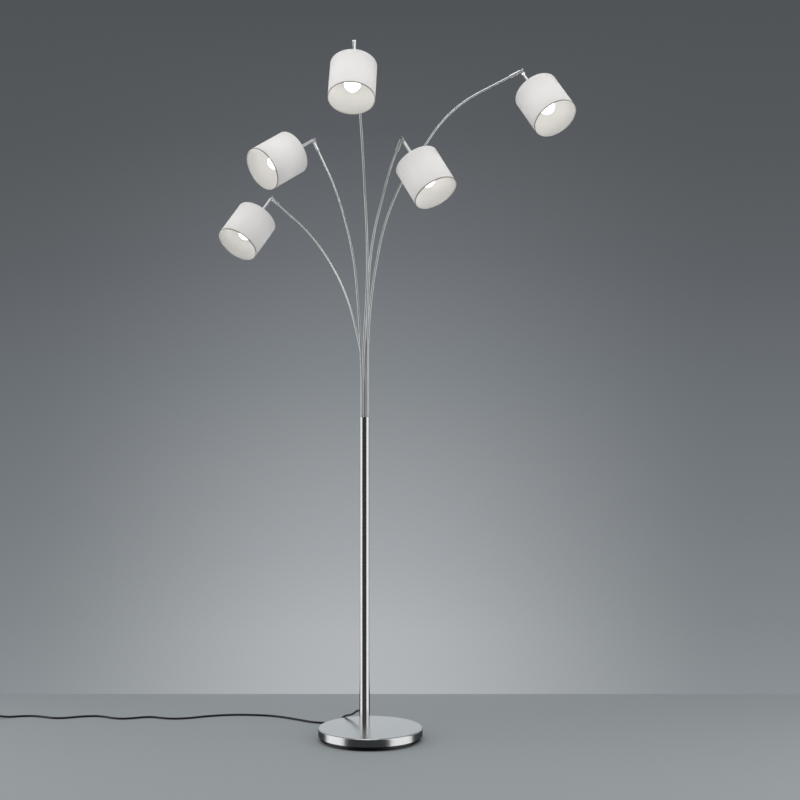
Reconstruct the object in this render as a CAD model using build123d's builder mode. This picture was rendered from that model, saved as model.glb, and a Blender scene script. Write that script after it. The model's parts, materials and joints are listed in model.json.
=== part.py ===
from build123d import *

import math
import os
from collections import namedtuple

# Tree floor lamp: a heavy round base, one pole, and five bent arms that each carry a jointed
# head with a drum shade. The pole stands off the middle of the base, towards its back.
# Millimetres, +Z up, origin on the floor under the middle of the pole.

os.makedirs("parts", exist_ok=True)

# ---------------------------------------------------------------- driving dimensions
fixed_gap = 0.05            # radial gap of pieces that are glued, pressed or screwed together
running_gap = 0.05          # radial gap of a shaft in the hole that it turns in
seat_gap = 0.1              # gap of a face that slides on another

# Base: felt pad, black tray, iron weight and pressed cover, from the floor up.
base_middle = (18.0, -65.0)  # from the pole's axis
base_dia = 296.0
pad_thickness = 3.0
pad_inset = 12.0            # pad edge inside the tray edge
tray_inset = 6.0            # tray edge inside the cover edge
tray_reveal = 9.5           # black band seen under the cover
tray_wall = 3.0
tray_floor = 2.5
tray_hub_dia = 60.0
tray_ribs = 8
rib_thickness = 3.0
cover_height = 22.5
cover_wall = 1.5
cover_round = 4.0
weight_thickness = 15.0
weight_gap = 0.5            # weight edge to cover rim

# Pole, standing on the cover and pulled down by one nut.
pole_length = 880.0
pole_dia = 30.0
pole_wall = 1.2
pole_rim_round = 0.5
pole_foot = 6.0
stud_dia = 12.0
stud_gap = 0.3
nut_across = 19.0
nut_height = 8.0
stud_past_nut = 1.5
washer_dia = 32.0
washer_thickness = 2.5

# Holder in the pole top with one stepped hole for each arm.
holder_length = 55.0
hole_circle = 9.5           # radius of the circle that the holes stand on
first_hole = 18.0           # degrees, from +X
arm_seat_depth = 40.0
wire_bore = 5.0

# Arms: bent tubes. Heights are above the pole top.
arm_dia = 7.0
arm_wall = 1.0
bend_share = 0.45           # how much of the shorter run beside a bend its arc takes

# Knuckle at the arm's end: two lapped ends on one sunk screw. Each lap is a little thicker than
# half its rod, so the two rods stand slightly side by side.
knuckle_dia = 11.5
knuckle_length = 38.0       # from the hinge down over the arm
arm_stop = 18.0             # from the hinge to the bottom of the knuckle's bore
lap_length = 15.5           # from the hinge to the shoulder of each lap
lap_gap = 0.1               # between the two laps
lap_thickness = 6.8         # from the middle of that gap to the back of each rod
nose_extra = 0.4            # radius of each round nose beyond its rod's
screw_dia = 3.0
screw_seat = 3.2            # from the middle of the gap to the floor of each counterbore
screw_seat_dia = 6.8
screw_head_dia = 5.6
screw_head_height = 2.0
screw_socket = 2.0
screw_socket_depth = 1.1
small_nut_across = 5.5
small_nut_height = 2.2
nose_wire_dia = 2.6
nose_wire_offset = 3.1

# Stem and lampholder. Distances run from the hinge along the stem.
stem_dia = 10.0
stem_bore = 6.0
stem_bore_start = 20.0
shade_drop = 89.0           # from the hinge to the top rim of the shade
flange_drop = 5.0           # from the top rim of the shade down to the holder's flange
stem_socket = 8.0           # how far the stem goes into the holder
lampholder_cap = 22.0       # height of the holder above its flange's lower face
lampholder_cap_dia = 30.0
lampholder_neck_dia = 14.0
lampholder_shoulder = 8.0
flange_dia = 34.0
flange_thickness = 2.0
lampholder_barrel_dia = 28.0
lampholder_barrel = 30.0
bulb_cap_dia = 13.9
bulb_cap_length = 20.0
bulb_tip = 2.0
bulb_tip_dia = 6.0
bulb_depth = 22.0           # from the holder's mouth to the bulb's tip
bulb_dia = 45.0
bulb_length = 76.0
bulb_neck_dia = 19.0

# Shade: a drum on a wire frame, held by a ring nut.
shade_dia = 130.0
shade_height = 120.0
shade_wall = 1.0
hem_height = 3.0
hem_depth = 2.5
frame_wire = 2.8
spoke_wire = 2.2
spokes = 3
centre_ring_dia = 46.0
centre_ring_thickness = 1.5
ring_nut_dia = 40.0
ring_nut_height = 8.0
ring_nut_notches = 8
ring_nut_notch = 3.0

# Cord outlet low on the back of the pole.
cord_dia = 6.0
outlet_height = 64.0
outlet_angle = 125.0        # degrees, from +X
outlet_reach = 3.0          # how far the grommet stands out of the pole
outlet_run = 16.0           # from the grommet to the cord's first bend
outlet_nose_dia = 8.0
grommet_dia = 12.0
grommet_neck_dia = 8.9
grommet_inside = 2.0

# Foot switch, coil and plug on the far stretch of the cord.
lead_height = 9.6           # height of the cord where it enters the switch and the plug
switch_x = -1196.0
switch_y = 195.0
switch_length = 84.0
switch_width = 40.0
switch_height = 21.0
switch_floor = 2.0
switch_wall = 2.0
switch_round = 5.0
switch_nose = 10.0
switch_nose_dia = 11.0
switch_lead = 28.0          # straight end of the cord at the switch
pedal_dia = 26.0
pedal_stand = 4.0           # how far the pedal stands out of the housing
pedal_travel = 3.0
pedal_skirt = 3.0
pedal_skirt_extra = 2.0
pedal_post_dia = 6.0
pedal_gap = 0.4
coil_radius = 41.0          # outer half turn, to the middle of the cord
coil_pitch = 6.6
coil_layer = 6.6
coil_half_turns = 4         # in each layer, besides the half turn that climbs
coil_lead = 54.0            # from the switch to the middle of the coil's first half turn
coil_tail = 30.0            # straight end of the cord at the plug
lead_drop_length = 34.0
plug_length = 36.0
plug_width = 35.0
plug_neck_width = 14.0
plug_round = 3.0
pin_dia = 4.0
pin_length = 19.0
pin_spacing = 19.0

# The five arms: shade names, straight rise, bends and hinge as x, y, height above the pole top,
# and the way that the shade looks.
Head = namedtuple("Head", "name rise bends hinge look")
heads = [
    Head("far_right", 308, [(67, 3, 626), (247, -4, 892)], (451, -17, 995), (0.410, -0.518, -0.750)),
    Head("low_left", 141, [(-50, 58, 361), (-150, 174, 535)], (-298, 327, 676), (-0.453, -0.486, -0.748)),
    Head("upper_left", 191, [(-30, 18, 466), (-79, 54, 655)], (-155, 115, 819), (-0.682, -0.531, -0.503)),
    Head("front", 150, [(12, -34, 437), (-6, -59, 804)], (-26, -126, 1051), (-0.035, -0.503, -0.864)),
    Head("mid_right", 227, [(16, -12, 494), (73, -31, 711)], (107, -47, 795), (0.450, -0.394, -0.801)),
]

# The cord from the grommet to the foot switch, chosen by hand: over the back edge of the base,
# down to the floor and away to the left in uneven waves.
cord_fall = [
    (-38, 44, 46), (-57, 63, 40), (-70, 86, 27), (-83, 107, 9), (-106, 128, 3),
]
cord_floor = [
    (-156, 135), (-213, 181), (-278, 224), (-345, 239), (-416, 241), (-483, 223), (-538, 192),
    (-595, 183), (-657, 217), (-707, 191), (-753, 184), (-810, 225), (-865, 219), (-930, 185),
    (-1003, 224), (-1048, 223), (-1086, 208),
]

# ---------------------------------------------------------------- derived places
tray_base = pad_thickness
cover_base = tray_base + tray_reveal
cover_top = cover_base + cover_height
weight_top = cover_top - cover_wall
weight_base = weight_top - weight_thickness
tray_radius = base_dia / 2 - tray_inset
washer_base = weight_base - washer_thickness
nut_base = washer_base - nut_height
pole_top = cover_top + pole_length
pole_bore = pole_dia - 2 * pole_wall
arm_seat = pole_top - arm_seat_depth
stem_start = stem_dia
flange_base = shade_drop + flange_drop
lampholder_top = flange_base - lampholder_cap
stem_end = lampholder_top + stem_socket
lampholder_mouth = flange_base + lampholder_barrel
bulb_top = lampholder_mouth - bulb_depth
bulb_middle = bulb_top + bulb_length - bulb_dia / 2
outlet_face = pole_dia / 2 + outlet_reach
cord_radius = cord_dia / 2
switch_face = switch_x - switch_length / 2 - switch_nose
switch_inlet = switch_x + switch_length / 2 + switch_nose
up = Vector(0, 0, 1)


def radial_plane(origin, outwards, along):
    """Plane whose local x runs outwards and whose local y runs along an axis, for revolved profiles."""
    return Plane(origin=origin, x_dir=outwards, z_dir=outwards.cross(along))


def bend_radii(points):
    """The largest arcs that fit: each takes bend_share of the shorter run beside its point."""
    radii = []
    for before, here, after in zip(points, points[1:], points[2:]):
        run_in = Vector(here) - Vector(before)
        run_out = Vector(after) - Vector(here)
        half_turn = math.radians(run_in.get_angle(run_out) / 2)
        radii.append(bend_share * min(run_in.length, run_out.length) / math.tan(half_turn))
    return radii


def cut_lap(middle, axis, along, radius, side):
    """Mill a rod's end to a lap, with a round nose, a screw hole and a counterbore.

    The rod runs away from the hinge along `along`; the part that stays lies on the `side` of
    the gap's middle, 1 or -1 along the hinge axis.
    """
    inner = Plane(origin=middle + axis * (side * lap_gap / 2), x_dir=along, z_dir=axis * -side)
    seat = Plane(origin=middle + axis * (side * screw_seat), x_dir=along, z_dir=axis * side)
    across = Plane(origin=middle - axis * knuckle_dia, x_dir=along, z_dir=axis)
    nose = radius + nose_extra
    with BuildSketch(inner) as other_half:
        with Locations((lap_length / 2 - knuckle_dia / 2, 0)):
            Rectangle(lap_length + knuckle_dia, 2 * knuckle_dia)
    extrude(other_half.sketch, amount=knuckle_dia, mode=Mode.SUBTRACT)
    with BuildSketch(seat) as counterbore:
        Circle(screw_seat_dia / 2)
    extrude(counterbore.sketch, amount=knuckle_dia, mode=Mode.SUBTRACT)
    with BuildSketch(across) as round_nose:
        with Locations((-knuckle_dia / 2, 0)):
            Rectangle(knuckle_dia, 2 * knuckle_dia)
        Circle(nose, mode=Mode.SUBTRACT)
    extrude(round_nose.sketch, amount=2 * knuckle_dia, mode=Mode.SUBTRACT)
    with BuildSketch(across) as screw_hole:
        Circle(screw_dia / 2 + running_gap)
    extrude(screw_hole.sketch, amount=2 * knuckle_dia, mode=Mode.SUBTRACT)


# ---------------------------------------------------------------- base
# Felt pad under the whole base.
with BuildPart() as base_pad:
    with BuildSketch(), Locations(base_middle):
        Circle(tray_radius - pad_inset)
    extrude(amount=pad_thickness)
base_pad.part.label = "base_pad"
export_step(base_pad.part, "parts/base_pad.step")

# Black tray: floor, wall, hub round the nut, and ribs that carry the weight.
with BuildPart() as base_tray:
    with BuildSketch(Plane.XY.offset(tray_base)), Locations(base_middle):
        Circle(tray_radius)
    extrude(amount=tray_floor)
    with BuildSketch(Plane.XY.offset(tray_base + tray_floor)):
        with Locations(base_middle):
            Circle(tray_radius)
            Circle(tray_radius - tray_wall, mode=Mode.SUBTRACT)
            with PolarLocations(0, tray_ribs):
                Rectangle(tray_radius - tray_wall / 2, rib_thickness, align=(Align.MIN, Align.CENTER))
        Circle(tray_hub_dia / 2 + tray_wall / 2)
        Circle(tray_hub_dia / 2 - tray_wall / 2, mode=Mode.SUBTRACT)
    extrude(amount=weight_base - tray_base - tray_floor)
base_tray.part.label = "base_tray"
export_step(base_tray.part, "parts/base_tray.step")

# Iron disc that keeps the lamp upright.
with BuildPart() as base_weight:
    with BuildSketch(Plane.XY.offset(weight_base)):
        with Locations(base_middle):
            Circle(base_dia / 2 - cover_wall - weight_gap)
        Circle(stud_dia / 2 + stud_gap, mode=Mode.SUBTRACT)
    extrude(amount=weight_thickness)
    weight_rims = base_weight.edges().filter_by(GeomType.CIRCLE).sort_by(SortBy.RADIUS)[-2:]
    chamfer(weight_rims, cover_round - cover_wall)
base_weight.part.label = "base_weight"
export_step(base_weight.part, "parts/base_weight.step")

# Pressed cover with a rounded edge, open underneath.
with BuildPart() as base_cover:
    with BuildSketch(Plane.XY.offset(cover_base)), Locations(base_middle):
        Circle(base_dia / 2)
    extrude(amount=cover_height)
    fillet(base_cover.faces().sort_by(Axis.Z)[-1].edges(), cover_round)
    with BuildSketch(Plane.XY.offset(cover_base)), Locations(base_middle):
        Circle(base_dia / 2 - cover_wall)
    extrude(amount=cover_height - cover_wall, mode=Mode.SUBTRACT)
    fillet(base_cover.faces().filter_by(Axis.Z).sort_by(Axis.Z)[-2].edges(), cover_round - cover_wall)
    with BuildSketch(Plane.XY.offset(cover_top)):
        Circle(stud_dia / 2 + stud_gap)
    extrude(amount=-cover_wall, mode=Mode.SUBTRACT)
base_cover.part.label = "base_cover"
export_step(base_cover.part, "parts/base_cover.step")

# ---------------------------------------------------------------- pole
outlet_way = Vector(math.cos(math.radians(outlet_angle)), math.sin(math.radians(outlet_angle)), 0)
outlet_plane = Plane(origin=(0, 0, outlet_height), x_dir=up, z_dir=outlet_way)

# Tube with a welded foot and stud, and a hole for the cord.
with BuildPart() as pole:
    with BuildSketch(Plane.XY.offset(cover_top)):
        Circle(pole_dia / 2)
    extrude(amount=pole_length)
    chamfer(pole.edges().group_by(Axis.Z)[-1], pole_rim_round)
    with BuildSketch(Plane.XY.offset(cover_top + pole_foot)):
        Circle(pole_bore / 2)
    extrude(amount=pole_length - pole_foot, mode=Mode.SUBTRACT)
    with BuildSketch(Plane.XY.offset(nut_base - stud_past_nut)):
        Circle(stud_dia / 2)
    extrude(amount=cover_top - nut_base + stud_past_nut)
    with BuildSketch(outlet_plane):
        Circle(grommet_neck_dia / 2 + fixed_gap)
    extrude(amount=pole_dia, mode=Mode.SUBTRACT)
pole.part.label = "pole"
export_step(pole.part, "parts/pole.step")

# Washer and nut under the weight.
with BuildPart() as pole_nut:
    with BuildSketch(Plane.XY.offset(washer_base)):
        Circle(washer_dia / 2)
        Circle(stud_dia / 2 + stud_gap, mode=Mode.SUBTRACT)
    extrude(amount=washer_thickness)
    with BuildSketch(Plane.XY.offset(nut_base)):
        RegularPolygon(nut_across / 2, 6, major_radius=False)
        Circle(stud_dia / 2 + fixed_gap, mode=Mode.SUBTRACT)
    extrude(amount=nut_height)
pole_nut.part.label = "pole_nut"
export_step(pole_nut.part, "parts/pole_nut.step")

# Holder pressed into the pole top: each arm stands on a step in its own hole, and its wires
# go on down through the narrower hole below.
hole_step = 360 / len(heads)
with BuildPart() as arm_holder:
    with BuildSketch(Plane.XY.offset(pole_top - holder_length)):
        Circle(pole_bore / 2 - fixed_gap)
        with PolarLocations(hole_circle, len(heads), first_hole):
            Circle(wire_bore / 2, mode=Mode.SUBTRACT)
    extrude(amount=holder_length)
    with BuildSketch(Plane.XY.offset(arm_seat)):
        with PolarLocations(hole_circle, len(heads), first_hole):
            Circle(arm_dia / 2 + running_gap)
    extrude(amount=arm_seat_depth, mode=Mode.SUBTRACT)
arm_holder.part.label = "arm_holder"
export_step(arm_holder.part, "parts/arm_holder.step")

# ---------------------------------------------------------------- arms and heads
for number, head in enumerate(heads):
    hole_angle = math.radians(first_hole + number * hole_step)
    hole = Vector(math.cos(hole_angle), math.sin(hole_angle), 0) * hole_circle
    hinge = Vector(*head.hinge) + up * pole_top
    bends = [hole + up * (pole_top + head.rise)]
    for bend in head.bends:
        bends.append(Vector(*bend) + up * pole_top)
    arm_way = (hinge - bends[-1]).normalized()
    stem_way = Vector(*head.look).normalized()
    hinge_way = arm_way.cross(stem_way).normalized()
    lap_middle = hinge + hinge_way * (lap_thickness - knuckle_dia / 2)
    pivot = lap_middle + hinge_way * (lap_thickness - stem_dia / 2)
    arm_end = hinge - arm_way * (arm_stop + seat_gap)
    arm_points = [hole + up * (arm_seat + seat_gap), *bends, arm_end]

    # Bent tube, from the step in the holder to the knuckle.
    with BuildPart() as arm:
        with BuildLine() as arm_route:
            FilletPolyline(*arm_points, radius=bend_radii(arm_points))
        with BuildSketch(Plane(origin=arm_points[0], z_dir=up)):
            Circle(arm_dia / 2)
            Circle(arm_dia / 2 - arm_wall, mode=Mode.SUBTRACT)
        sweep(path=arm_route.wires()[0])
    arm.part.label = f"arm_{head.name}"
    export_step(arm.part, f"parts/{arm.part.label}.step")

    # Knuckle that turns on the arm's end, with its half of the lapped hinge.
    with BuildPart() as knuckle:
        with BuildSketch(Plane(origin=hinge - arm_way * knuckle_length, x_dir=hinge_way, z_dir=arm_way)):
            Circle(knuckle_dia / 2)
        extrude(amount=knuckle_length + knuckle_dia)
        chamfer(knuckle.edges().sort_by(Axis(hinge, arm_way))[0], arm_wall / 2)
        with BuildSketch(Plane(origin=hinge - arm_way * knuckle_length, x_dir=hinge_way, z_dir=arm_way)):
            Circle(arm_dia / 2 + running_gap)
        extrude(amount=knuckle_length - arm_stop, mode=Mode.SUBTRACT)
        with BuildSketch(Plane(origin=hinge - arm_way * arm_stop, x_dir=hinge_way, z_dir=arm_way)):
            with Locations((nose_wire_offset, 0)):
                Circle(nose_wire_dia / 2)
        extrude(amount=arm_stop, mode=Mode.SUBTRACT)
        cut_lap(lap_middle, hinge_way, arm_way * -1, knuckle_dia / 2, -1)
    knuckle.part.label = f"knuckle_{head.name}"
    export_step(knuckle.part, f"parts/{knuckle.part.label}.step")

    # Socket screw and nut, sunk in the backs of the two laps.
    screw_floor = lap_middle - hinge_way * screw_seat
    nut_floor = lap_middle + hinge_way * (screw_seat + seat_gap)
    head_plane = Plane(origin=screw_floor - hinge_way * screw_head_height, x_dir=arm_way, z_dir=hinge_way)
    with BuildPart() as hinge_screw:
        with BuildSketch(head_plane):
            Circle(screw_head_dia / 2)
        extrude(amount=screw_head_height)
        fillet(hinge_screw.edges().sort_by(Axis(hinge, hinge_way))[0], screw_head_height / 3)
        with BuildSketch(Plane(origin=screw_floor, x_dir=arm_way, z_dir=hinge_way)):
            Circle(screw_dia / 2)
        extrude(amount=2 * screw_seat + seat_gap + small_nut_height)
        with BuildSketch(head_plane):
            RegularPolygon(screw_socket / 2, 6, major_radius=False)
        extrude(amount=screw_socket_depth, mode=Mode.SUBTRACT)
        with BuildSketch(Plane(origin=nut_floor, x_dir=arm_way, z_dir=hinge_way)):
            RegularPolygon(small_nut_across / 2, 6, major_radius=False)
            Circle(screw_dia / 2 + fixed_gap, mode=Mode.SUBTRACT)
        extrude(amount=small_nut_height)
    hinge_screw.part.label = f"hinge_screw_{head.name}"
    export_step(hinge_screw.part, f"parts/{hinge_screw.part.label}.step")

    # Stem: the other half of the hinge, and the tube that carries the lampholder.
    with BuildPart() as stem:
        with BuildSketch(Plane(origin=pivot - stem_way * stem_start, x_dir=hinge_way, z_dir=stem_way)):
            Circle(stem_dia / 2)
        extrude(amount=stem_end + stem_start)
        with BuildSketch(Plane(origin=pivot + stem_way * stem_bore_start, x_dir=hinge_way, z_dir=stem_way)):
            Circle(stem_bore / 2)
        extrude(amount=stem_end - stem_bore_start, mode=Mode.SUBTRACT)
        with BuildSketch(Plane(origin=pivot, x_dir=hinge_way, z_dir=stem_way)):
            with Locations((-nose_wire_offset, 0)):
                Circle(nose_wire_dia / 2)
        extrude(amount=stem_bore_start, mode=Mode.SUBTRACT)
        cut_lap(lap_middle, hinge_way, stem_way, stem_dia / 2, 1)
    stem.part.label = f"stem_{head.name}"
    export_step(stem.part, f"parts/{stem.part.label}.step")

    stem_axis = Axis(pivot, stem_way)
    profile_plane = radial_plane(pivot, hinge_way, stem_way)

    # Lampholder: domed cap, flange on the shade's centre ring, and threaded barrel.
    with BuildPart() as lampholder:
        with BuildSketch(profile_plane):
            with BuildLine():
                Polyline(
                    (0, lampholder_top), (lampholder_neck_dia / 2, lampholder_top),
                )
                cap_curve = TangentArc(
                    (lampholder_neck_dia / 2, lampholder_top),
                    (lampholder_cap_dia / 2, lampholder_top + lampholder_shoulder),
                    tangent=(1, 0),
                )
                Polyline(
                    cap_curve @ 1,
                    (lampholder_cap_dia / 2, flange_base - flange_thickness),
                    (flange_dia / 2, flange_base - flange_thickness),
                    (flange_dia / 2, flange_base),
                    (lampholder_barrel_dia / 2, flange_base),
                    (lampholder_barrel_dia / 2, lampholder_mouth),
                    (bulb_cap_dia / 2 + fixed_gap, lampholder_mouth),
                    (bulb_cap_dia / 2 + fixed_gap, bulb_top),
                    (0, bulb_top),
                    (0, lampholder_top),
                )
            make_face()
        revolve(axis=stem_axis)
        with BuildSketch(Plane(origin=pivot + stem_way * lampholder_top, x_dir=hinge_way, z_dir=stem_way)):
            Circle(stem_dia / 2 + fixed_gap)
        extrude(amount=stem_socket, mode=Mode.SUBTRACT)
        with BuildSketch(Plane(origin=pivot + stem_way * stem_end, x_dir=hinge_way, z_dir=stem_way)):
            Circle(nose_wire_dia / 2)
        extrude(amount=bulb_top - stem_end, mode=Mode.SUBTRACT)
    lampholder.part.label = f"lampholder_{head.name}"
    export_step(lampholder.part, f"parts/{lampholder.part.label}.step")

    # Bulb: screw cap, neck and round glass.
    with BuildPart() as bulb:
        with BuildSketch(profile_plane):
            with BuildLine():
                Polyline(
                    (0, bulb_top), (bulb_tip_dia / 2, bulb_top), (bulb_cap_dia / 2, bulb_top + bulb_tip),
                    (bulb_cap_dia / 2, bulb_top + bulb_tip + bulb_cap_length),
                    (bulb_neck_dia / 2, bulb_middle - math.sqrt(bulb_dia ** 2 - bulb_neck_dia ** 2) / 2),
                )
                ThreePointArc(
                    (bulb_neck_dia / 2, bulb_middle - math.sqrt(bulb_dia ** 2 - bulb_neck_dia ** 2) / 2),
                    (bulb_dia / 2, bulb_middle),
                    (0, bulb_middle + bulb_dia / 2),
                )
                Line((0, bulb_middle + bulb_dia / 2), (0, bulb_top))
            make_face()
        revolve(axis=stem_axis)
    bulb.part.label = f"bulb_{head.name}"
    export_step(bulb.part, f"parts/{bulb.part.label}.step")

    # Drum of stiffened cloth, with its lower hem turned in.
    shade_radius = shade_dia / 2
    with BuildPart() as shade:
        with BuildSketch(profile_plane):
            with BuildLine():
                Polyline(
                    (shade_radius - shade_wall, shade_drop), (shade_radius, shade_drop),
                    (shade_radius, shade_drop + shade_height),
                    (shade_radius - hem_depth, shade_drop + shade_height),
                    (shade_radius - hem_depth, shade_drop + shade_height - hem_height),
                    (shade_radius - shade_wall, shade_drop + shade_height - hem_height),
                    close=True,
                )
            make_face()
        revolve(axis=stem_axis)
    shade.part.label = f"shade_{head.name}"
    export_step(shade.part, f"parts/{shade.part.label}.step")

    # Wire frame in the top of the shade: rim wire, spokes and the centre ring.
    rim_wire_radius = shade_radius - shade_wall - fixed_gap - frame_wire / 2
    rim_wire_drop = shade_drop + frame_wire / 2
    centre_drop = flange_base + centre_ring_thickness / 2
    with BuildPart() as shade_frame:
        with BuildSketch(profile_plane):
            with Locations((rim_wire_radius, rim_wire_drop)):
                Circle(frame_wire / 2)
        revolve(axis=stem_axis)
        with BuildSketch(Plane(origin=pivot + stem_way * flange_base, x_dir=hinge_way, z_dir=stem_way)):
            Circle(centre_ring_dia / 2)
            Circle(lampholder_barrel_dia / 2 + fixed_gap, mode=Mode.SUBTRACT)
        extrude(amount=centre_ring_thickness)
        for spoke in range(spokes):
            outwards = hinge_way.rotate(stem_axis, (spoke + 0.25) * 360 / spokes)
            spoke_in = pivot + stem_way * centre_drop + outwards * (centre_ring_dia / 2 - spoke_wire / 2)
            spoke_out = pivot + stem_way * rim_wire_drop + outwards * rim_wire_radius
            with BuildSketch(Plane(origin=spoke_in, z_dir=spoke_out - spoke_in)):
                Circle(spoke_wire / 2)
            extrude(amount=(spoke_out - spoke_in).length)
    shade_frame.part.label = f"shade_frame_{head.name}"
    export_step(shade_frame.part, f"parts/{shade_frame.part.label}.step")

    # Notched ring nut that clamps the frame against the holder's flange.
    with BuildPart() as shade_ring:
        ring_base = flange_base + centre_ring_thickness
        with BuildSketch(Plane(origin=pivot + stem_way * ring_base, x_dir=hinge_way, z_dir=stem_way)):
            Circle(ring_nut_dia / 2)
            Circle(lampholder_barrel_dia / 2 + fixed_gap, mode=Mode.SUBTRACT)
            with PolarLocations(ring_nut_dia / 2, ring_nut_notches):
                Circle(ring_nut_notch / 2, mode=Mode.SUBTRACT)
        extrude(amount=ring_nut_height)
    shade_ring.part.label = f"shade_ring_{head.name}"
    export_step(shade_ring.part, f"parts/{shade_ring.part.label}.step")

    print(head.name, "arm radii", [round(radius) for radius in bend_radii(arm_points)])
    print(head.name, "pivot", tuple(pivot), "arm", tuple(arm_way), "stem", tuple(stem_way))

# ---------------------------------------------------------------- cord
# Grommet: neck through the pole wall, flange that hugs the pole, and a tapered nose.
with BuildPart() as cord_grommet:
    with BuildSketch(outlet_plane.offset(pole_bore / 2 - grommet_inside)):
        Circle(grommet_dia / 2)
    extrude(amount=outlet_face - pole_bore / 2 + grommet_inside)
    chamfer(
        cord_grommet.edges().sort_by(Axis((0, 0, outlet_height), outlet_way))[-1],
        outlet_reach / 2, (grommet_dia - outlet_nose_dia) / 2,
    )
    with BuildSketch(Plane.XY.offset(outlet_height - pole_dia)) as pole_clearance:
        Circle(pole_dia / 2 + fixed_gap)
    extrude(amount=2 * pole_dia, mode=Mode.SUBTRACT)
    with BuildSketch(outlet_plane.offset(pole_bore / 2 - grommet_inside)):
        Circle(grommet_neck_dia / 2)
    extrude(amount=outlet_reach + grommet_inside)
cord_grommet.part.label = "cord_grommet"
export_step(cord_grommet.part, "parts/cord_grommet.step")

# Free stretch from the grommet to the foot switch.
cord_start = outlet_way * outlet_face + up * outlet_height
cord_points = [cord_start, cord_start + outlet_way * outlet_run]
for point in cord_fall:
    cord_points.append(Vector(*point))
for x, y in cord_floor:
    cord_points.append(Vector(x, y, cord_radius))
cord_points.append(Vector(switch_inlet + switch_lead, switch_y, lead_height))
cord_points.append(Vector(switch_inlet, switch_y, lead_height))
with BuildPart() as cord_run:
    with BuildLine() as cord_route:
        FilletPolyline(*cord_points, radius=bend_radii(cord_points))
    with BuildSketch(Plane(origin=cord_start, z_dir=cord_route.wires()[0] % 0)):
        Circle(cord_radius)
    sweep(path=cord_route.wires()[0])
cord_run.part.label = "cord_run"
export_step(cord_run.part, "parts/cord_run.step")
cord_length = cord_route.wires()[0].length
print("cord radii", [round(radius) for radius in bend_radii(cord_points)])
print("cord length", round(cord_length), "volume ratio",
      round(cord_run.part.volume / (math.pi * cord_radius ** 2 * cord_length), 4))

# Coil: a lead down from the switch, half turns that wind in on the floor, one that climbs,
# half turns that wind out on top, and a straight end into the plug.
coil_x = switch_face - coil_lead
coil_top = cord_radius + coil_layer
drop = lead_height - cord_radius
lead_in = switch_face - cord_dia
lead_out = lead_in - lead_drop_length
lead_middle = Vector((lead_in + lead_out) / 2, switch_y, cord_radius + drop / 2)
turns = []                  # start, middle and end of every half turn
side = 1                    # 1 where a half turn starts on the lead's side of the coil
edge_y = switch_y
for layer, height in enumerate((cord_radius, coil_top)):
    for turn in range(coil_half_turns):
        rank = turn if layer == 0 else coil_half_turns - 1 - turn
        radius = coil_radius - rank * coil_pitch / 2
        far_y = edge_y + side * 2 * radius
        middle = Vector(coil_x - side * radius, edge_y + side * radius, height)
        turns.append((Vector(coil_x, edge_y, height), middle, Vector(coil_x, far_y, height)))
        edge_y = far_y
        side = -side
    if layer == 0:
        climb_radius = coil_radius - coil_half_turns * coil_pitch / 2
        far_y = edge_y + side * 2 * climb_radius
        bulge = math.hypot(climb_radius, coil_layer / 2)
        middle = Vector(coil_x - side * bulge, edge_y + side * climb_radius, (cord_radius + coil_top) / 2)
        turns.append((Vector(coil_x, edge_y, cord_radius), middle, Vector(coil_x, far_y, coil_top)))
        edge_y = far_y
        side = -side
cord_end = Vector(coil_x - side * coil_tail, edge_y, coil_top)
with BuildPart() as cord_coil:
    with BuildLine() as coil_route:
        Line((switch_face, switch_y, lead_height), (lead_in, switch_y, lead_height))
        TangentArc((lead_in, switch_y, lead_height), lead_middle, tangent=(-1, 0, 0))
        TangentArc((lead_out, switch_y, cord_radius), lead_middle, tangent=(1, 0, 0))
        Line((lead_out, switch_y, cord_radius), turns[0][0])
        for start, middle, end in turns:
            ThreePointArc(start, middle, end)
        Line(turns[-1][2], cord_end)
    with BuildSketch(Plane(origin=(switch_face, switch_y, lead_height), z_dir=(-1, 0, 0))):
        Circle(cord_radius)
    sweep(path=coil_route.wires()[0])
cord_coil.part.label = "cord_coil"
export_step(cord_coil.part, "parts/cord_coil.step")
coil_length = coil_route.wires()[0].length
print("coil length", round(coil_length), "volume ratio",
      round(cord_coil.part.volume / (math.pi * cord_radius ** 2 * coil_length), 4))

# The coil's least gap to itself, between points that lie more than two diameters apart on it.
samples = int(coil_length / 2)
track = [coil_route.wires()[0].position_at(step / samples) for step in range(samples + 1)]
apart = int(3 * cord_dia / 2)
least = min(
    (track[i] - track[j]).length
    for i in range(len(track)) for j in range(i + apart, len(track))
)
print("coil least gap", round(least - cord_dia, 2), "least radius", round(climb_radius, 1))

# ---------------------------------------------------------------- foot switch
switch_top = switch_height
pedal_hole = pedal_dia / 2 + pedal_gap
noses = [
    (switch_x + switch_length / 2, Vector(1, 0, 0)),
    (switch_x - switch_length / 2, Vector(-1, 0, 0)),
]

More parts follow.
